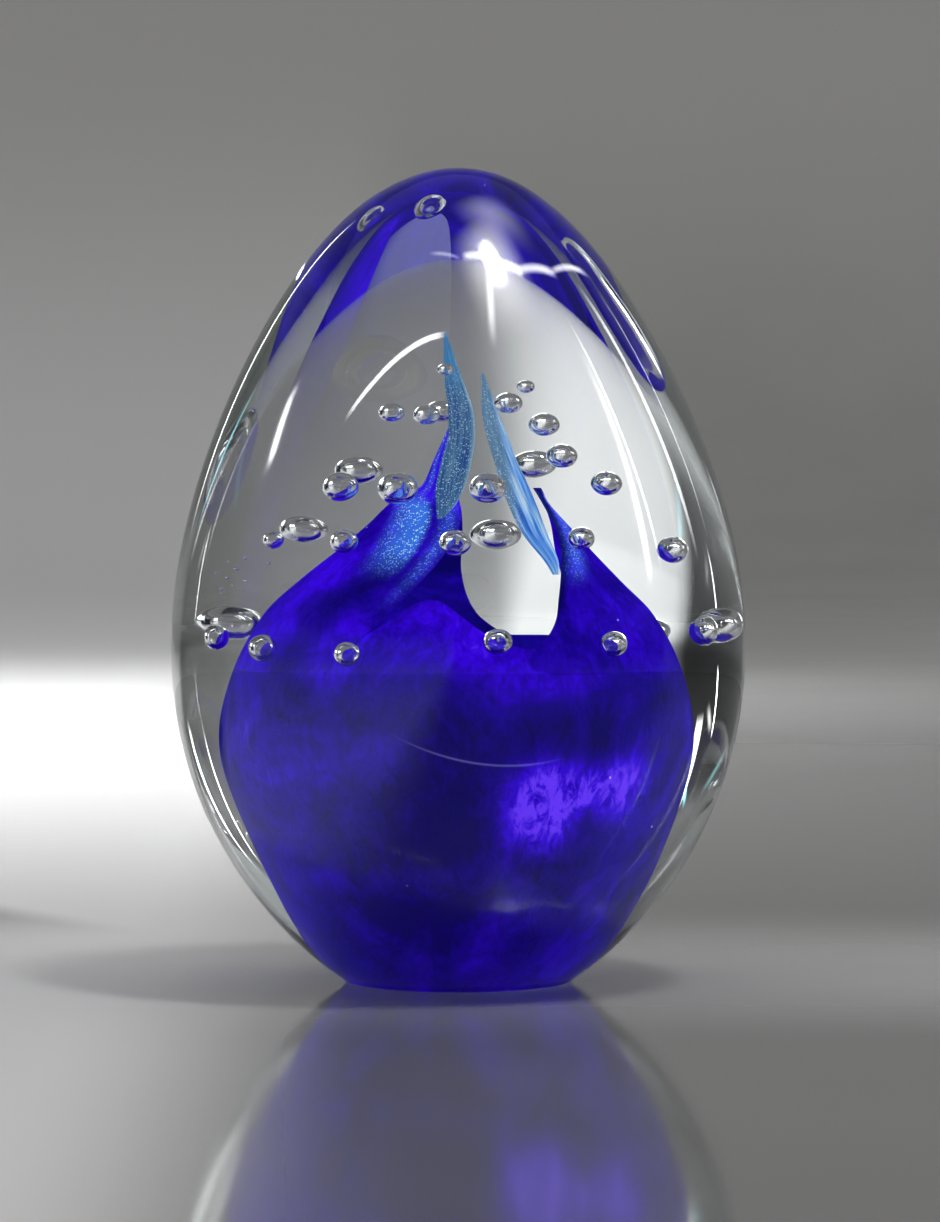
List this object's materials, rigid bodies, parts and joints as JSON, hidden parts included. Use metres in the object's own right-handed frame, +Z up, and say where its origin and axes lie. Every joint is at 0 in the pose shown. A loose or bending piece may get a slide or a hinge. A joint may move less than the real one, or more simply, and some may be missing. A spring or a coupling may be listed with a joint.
{
  "type": "paperweight",
  "caption": "Solid clear glass egg on a small ground flat base, holding a twisted cobalt glass veil with pale glitter ribbons under rows of trapped air bubbles; it holds papers down.",
  "frame": {"origin": "centre of the ground flat base", "axes": "+Z up the axis of the egg to its tip; the front, with the arch of the bowl's lip, faces -Y"},
  "size_m": [0.0634, 0.0634, 0.09],
  "materials": {
    "clear_glass": "polished clear crystal glass, ground flat and polished under the base",
    "cobalt_glass": "deep cobalt blue glass, cloudy and streaked, nearly opaque",
    "aqua_glitter_glass": "pale blue and teal glass with fine silver glitter",
    "trapped_air": "air bubble with a bright mirror-like skin"
  },
  "bodies": {
    "root": {"outer_casing": "clear_glass", "middle_gather": "clear_glass", "clear_core": "clear_glass", "cobalt_bowl": "cobalt_glass", "veil_arm_left": "cobalt_glass", "veil_arm_back": "cobalt_glass", "veil_arm_right": "cobalt_glass", "cobalt_strand": "cobalt_glass", "aqua_ribbon_left": "aqua_glitter_glass", "aqua_ribbon_right": "aqua_glitter_glass", "bubble_a1": "trapped_air", "bubble_a2": "trapped_air", "bubble_a3": "trapped_air", "bubble_a4": "trapped_air", "bubble_a5": "trapped_air", "bubble_a6": "trapped_air", "bubble_a7": "trapped_air", "bubble_a8": "trapped_air", "bubble_a9": "trapped_air", "bubble_b1": "trapped_air", "bubble_b2": "trapped_air", "bubble_b3": "trapped_air", "bubble_b4": "trapped_air", "bubble_b5": "trapped_air", "bubble_b6": "trapped_air", "bubble_b7": "trapped_air", "bubble_c1": "trapped_air", "bubble_c2": "trapped_air", "bubble_c3": "trapped_air", "bubble_c4": "trapped_air", "bubble_c5": "trapped_air", "bubble_c6": "trapped_air", "bubble_c7": "trapped_air", "bubble_d1": "trapped_air", "bubble_d2": "trapped_air", "bubble_d3": "trapped_air", "bubble_d4": "trapped_air", "bubble_d5": "trapped_air", "bubble_e1": "trapped_air", "bubble_e2": "trapped_air"}
  },
  "joints": []
}
